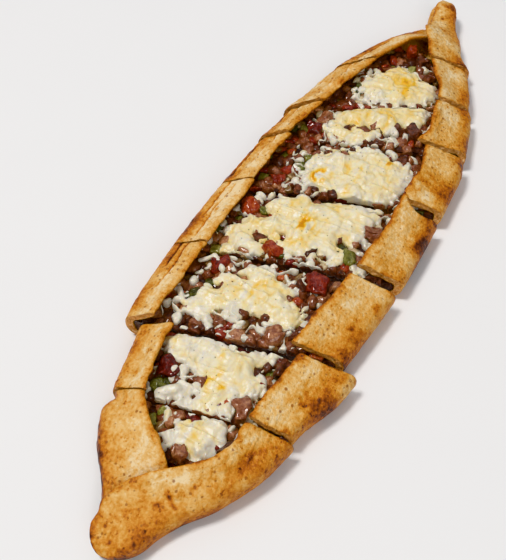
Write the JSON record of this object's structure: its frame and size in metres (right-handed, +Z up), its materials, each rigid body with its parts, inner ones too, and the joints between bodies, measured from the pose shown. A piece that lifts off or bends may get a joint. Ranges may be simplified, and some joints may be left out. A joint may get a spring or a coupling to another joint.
{
  "type": "turkish pide",
  "caption": "A long boat of flat bread folded over chopped meat, vegetables and melted cheese, baked golden and cut across into slices that keep its shape.",
  "frame": {"origin": "the middle of the flat underside, at table height", "axes": "X runs along the loaf from the broad nose to the narrow nose, Y across it, Z up"},
  "size_m": [0.4561, 0.1266, 0.0316],
  "materials": {
    "dough": "baked flat bread crust, matt, cream where pale and golden brown at its rims",
    "filling": "chopped meat, tomato, pepper and onion in a thin oily sauce",
    "cheese": "melted white cheese with yellow butter stains, softly glossy",
    "tomato": "cooked tomato, wet and glossy",
    "meat": "cooked diced meat, moist",
    "pepper": "cooked green pepper, wet"
  },
  "bodies": {
    "root": {"dough_1": "dough", "dough_2": "dough", "dough_3": "dough", "dough_4": "dough", "dough_5": "dough", "dough_6": "dough", "dough_7": "dough", "dough_8": "dough", "filling_1": "filling", "filling_2": "filling", "filling_3": "filling", "filling_4": "filling", "filling_5": "filling", "filling_6": "filling", "filling_7": "filling", "filling_8": "filling", "cheese_1": "cheese", "cheese_2": "cheese", "cheese_3": "cheese", "cheese_4": "cheese", "cheese_5": "cheese", "cheese_6": "cheese", "cheese_7": "cheese", "cheese_8": "cheese", "cheese_9": "cheese", "tomato_1": "tomato", "tomato_2": "tomato", "tomato_3": "tomato", "tomato_4": "tomato", "tomato_5": "tomato", "tomato_6": "tomato", "tomato_7": "tomato", "tomato_8": "tomato", "meat_1": "meat", "meat_2": "meat", "meat_3": "meat", "meat_4": "meat", "meat_5": "meat", "meat_6": "meat", "meat_7": "meat", "meat_8": "meat", "meat_9": "meat", "meat_10": "meat", "pepper_1": "pepper", "pepper_2": "pepper", "pepper_3": "pepper", "pepper_4": "pepper"}
  },
  "joints": []
}
